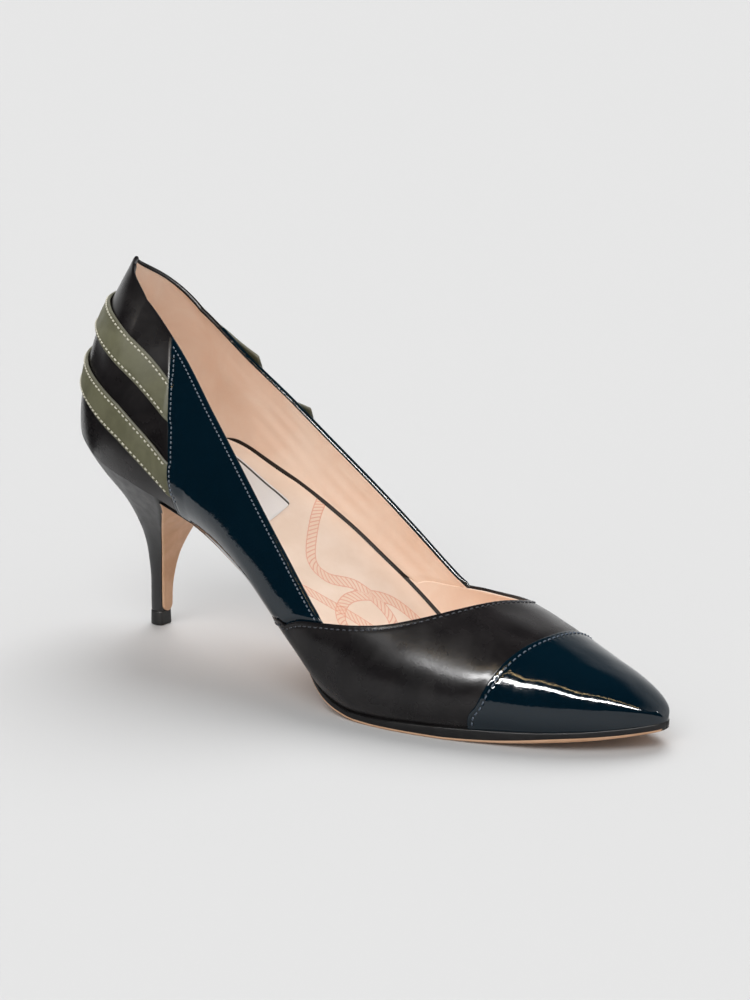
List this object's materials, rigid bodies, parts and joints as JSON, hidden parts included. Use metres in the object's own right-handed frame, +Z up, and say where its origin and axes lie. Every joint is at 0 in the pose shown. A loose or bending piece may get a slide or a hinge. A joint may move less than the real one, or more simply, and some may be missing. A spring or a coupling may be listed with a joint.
{
  "type": "high heel pump",
  "caption": "Pointed-toe right-foot pump with a slim medium heel, contrast toe cap and side quarters, and two bands wrapped round the back of the heel.",
  "frame": {"origin": "centre of the bounding box at the ground the shoe stands on", "axes": "+X from the heel to the toe, +Y to the medial side, +Z up"},
  "size_m": [0.2465, 0.0762, 0.1372],
  "materials": {
    "dark_leather": "smooth semi-gloss, brown-black, cloudy",
    "patent": "high-gloss navy patent",
    "olive_leather": "smooth matte olive",
    "lining_leather": "soft matte peach",
    "sock_leather": "matte pale cream with a coral rope print",
    "label_cloth": "plain white woven patch",
    "sole_leather": "tan with a black-painted edge",
    "stiffener": "impregnated cloth",
    "board": "cellulose fibreboard",
    "foam": "soft foam",
    "tape": "woven nylon tape",
    "heel_cover": "satin charcoal cover",
    "top_lift": "matte black polyurethane",
    "steel": "plain steel",
    "navy_thread": "waxed navy thread",
    "cream_thread": "waxed cream thread"
  },
  "bodies": {
    "root": {"vamp": "dark_leather", "toe_cap": "patent", "quarter_lateral": "patent", "quarter_medial": "patent", "back_counter": "dark_leather", "band_upper": "olive_leather", "band_lower": "olive_leather", "vamp_lining": "lining_leather", "quarter_lining": "lining_leather", "counter_stiffener": "stiffener", "toe_puff": "stiffener", "topline_tape": "tape", "outsole": "sole_leather", "bottom_filler": "foam", "shank": "steel", "shank_rivets": "steel", "insole_board": "board", "heel_pad": "foam", "sock": "sock_leather", "sock_label": "label_cloth", "heel_block": "heel_cover", "heel_dowel": "steel", "top_lift": "top_lift", "top_lift_pin": "steel", "heel_screw": "steel", "heel_nails": "steel", "cap_stitches": "navy_thread", "vamp_stitches": "navy_thread", "quarter_stitches": "navy_thread", "band_stitches": "cream_thread"}
  },
  "joints": []
}
